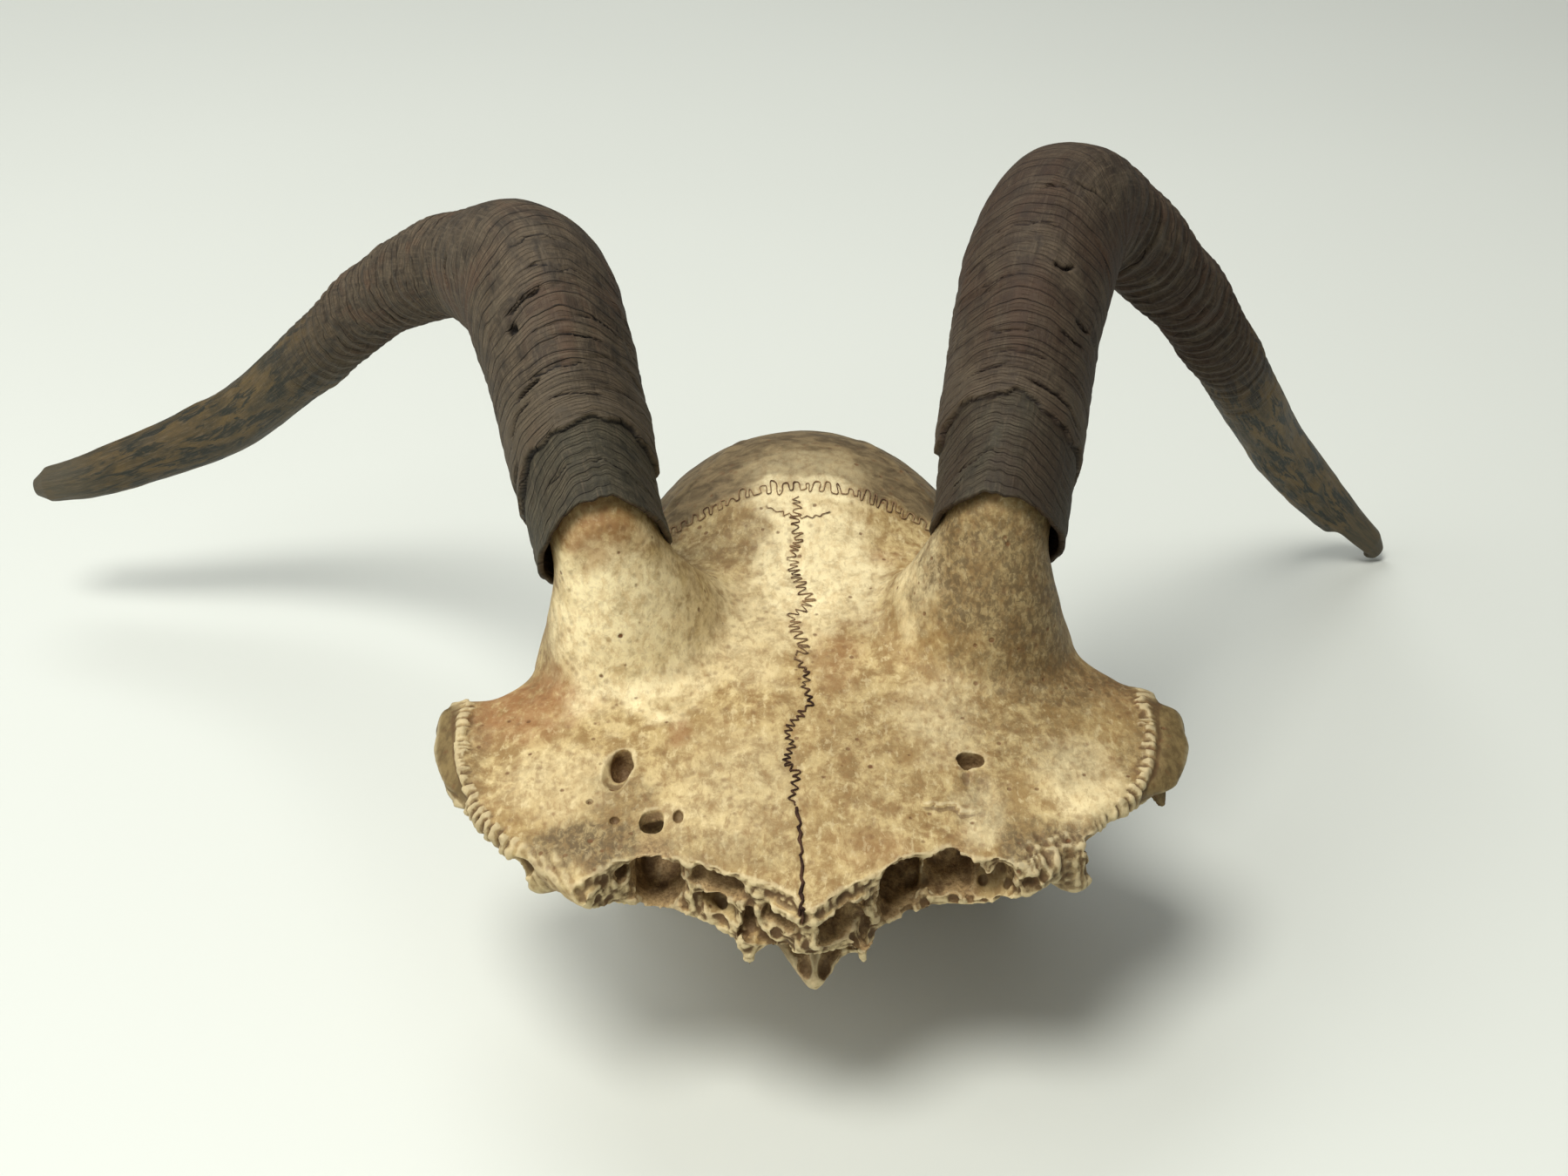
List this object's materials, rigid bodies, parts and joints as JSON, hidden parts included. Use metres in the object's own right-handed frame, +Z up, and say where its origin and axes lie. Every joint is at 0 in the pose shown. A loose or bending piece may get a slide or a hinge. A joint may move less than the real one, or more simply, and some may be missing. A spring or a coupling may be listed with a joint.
{
  "type": "goat skull",
  "caption": "Horned goat skull cap with the face broken away: frontal bones, orbit roofs, braincase and bent horn sheaths, lying on its base.",
  "frame": {"origin": "centre of the overall box at the table plane", "axes": "+X across the skull to the viewer's right in the picture, +Y from the broken front edge back to the occiput, +Z up from the table"},
  "size_m": [0.2808, 0.1862, 0.122],
  "materials": {
    "bone": "dry weathered bone, cream to ochre, matt and finely pored; ceramic stands in for bone",
    "horn": "weathered horn, dark grey-brown, matt and ringed; wood stands in for horn"
  },
  "bodies": {
    "root": {"frontal_left": "bone", "frontal_right": "bone", "lacrimal_left": "bone", "lacrimal_right": "bone", "ethmoid": "bone", "presphenoid": "bone", "basisphenoid": "bone", "parietal": "bone", "temporal_left": "bone", "temporal_right": "bone", "occipital": "bone", "horn_sheath_left": "horn", "horn_sheath_right": "horn"}
  },
  "joints": []
}
